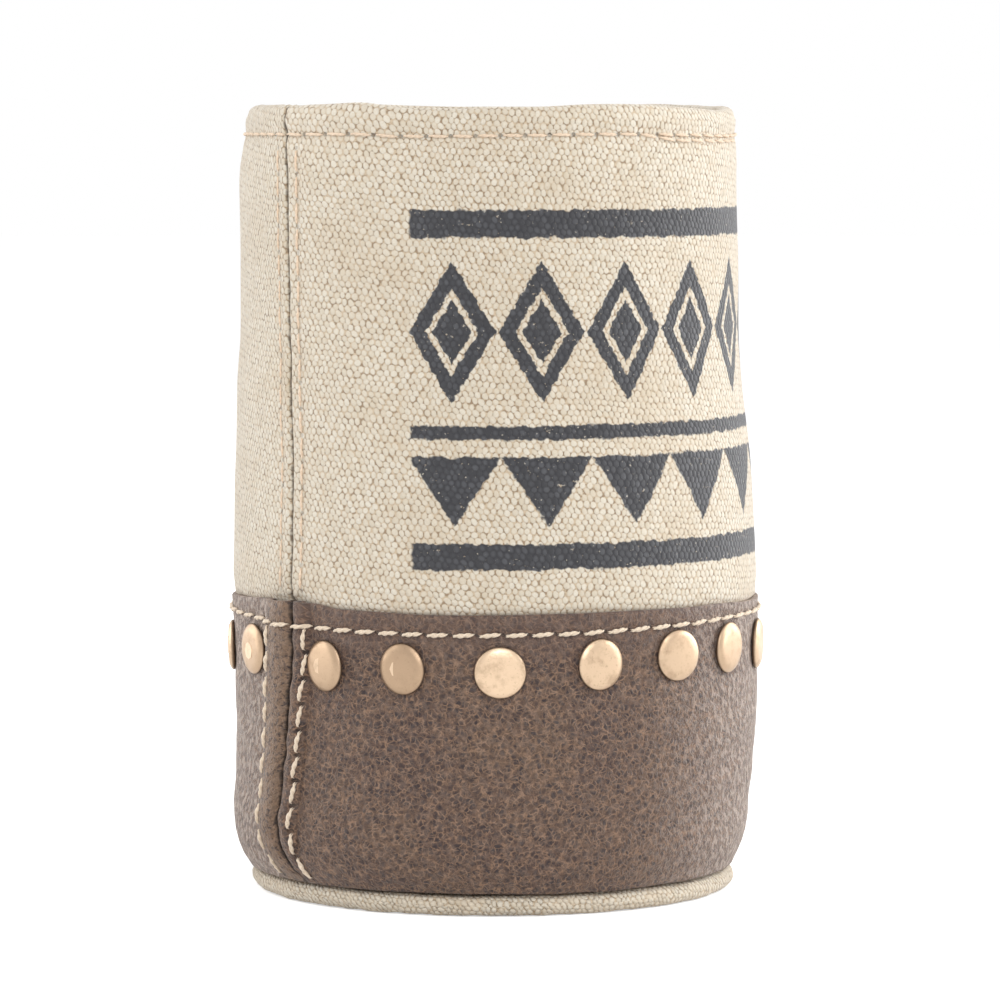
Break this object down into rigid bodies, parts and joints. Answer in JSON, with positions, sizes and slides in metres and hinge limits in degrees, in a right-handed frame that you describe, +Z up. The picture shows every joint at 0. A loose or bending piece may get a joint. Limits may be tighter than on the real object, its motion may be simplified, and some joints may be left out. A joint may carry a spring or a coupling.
{
  "type": "can cooler sleeve",
  "caption": "Padded canvas sleeve for a drinks can, with a riveted leather band round its foot, a welted base and an open top.",
  "frame": {"origin": "centre of the base, on the surface that the sleeve stands on", "axes": "+Z up, out of the open top; -Y is the printed front, with the side seam to its left"},
  "size_m": [0.0814, 0.0816, 0.1172],
  "materials": {
    "canvas": "natural unbleached plain-weave canvas with a charcoal print",
    "welt_canvas": "natural canvas rolled into a welt",
    "leather": "mottled dark brown pull-up leather",
    "brass": "aged brass, lightly brushed",
    "foam": "grey closed-cell foam",
    "lining": "dark knitted lining",
    "cream_thread": "thick waxed cream thread",
    "peach_thread": "fine peach thread"
  },
  "bodies": {
    "root": {"band_seam_thread_back": "cream_thread", "band_seam_thread_front": "cream_thread", "band_thread": "cream_thread", "base_canvas": "canvas", "base_foam": "foam", "base_lining": "lining", "base_welt": "welt_canvas", "canvas_seam_thread_back": "peach_thread", "canvas_seam_thread_front": "peach_thread", "hem_thread": "peach_thread", "leather_band": "leather", "outer_canvas": "canvas", "rivet_cap_01": "brass", "rivet_cap_02": "brass", "rivet_cap_03": "brass", "rivet_cap_04": "brass", "rivet_cap_05": "brass", "rivet_cap_06": "brass", "rivet_cap_07": "brass", "rivet_cap_08": "brass", "rivet_cap_09": "brass", "rivet_cap_10": "brass", "rivet_cap_11": "brass", "rivet_cap_12": "brass", "rivet_cap_13": "brass", "rivet_cap_14": "brass", "rivet_cap_15": "brass", "rivet_cap_16": "brass", "rivet_cap_17": "brass", "rivet_cap_18": "brass", "rivet_post_01": "brass", "rivet_post_02": "brass", "rivet_post_03": "brass", "rivet_post_04": "brass", "rivet_post_05": "brass", "rivet_post_06": "brass", "rivet_post_07": "brass", "rivet_post_08": "brass", "rivet_post_09": "brass", "rivet_post_10": "brass", "rivet_post_11": "brass", "rivet_post_12": "brass", "rivet_post_13": "brass", "rivet_post_14": "brass", "rivet_post_15": "brass", "rivet_post_16": "brass", "rivet_post_17": "brass", "rivet_post_18": "brass", "wall_foam": "foam", "wall_lining": "lining"}
  },
  "joints": []
}
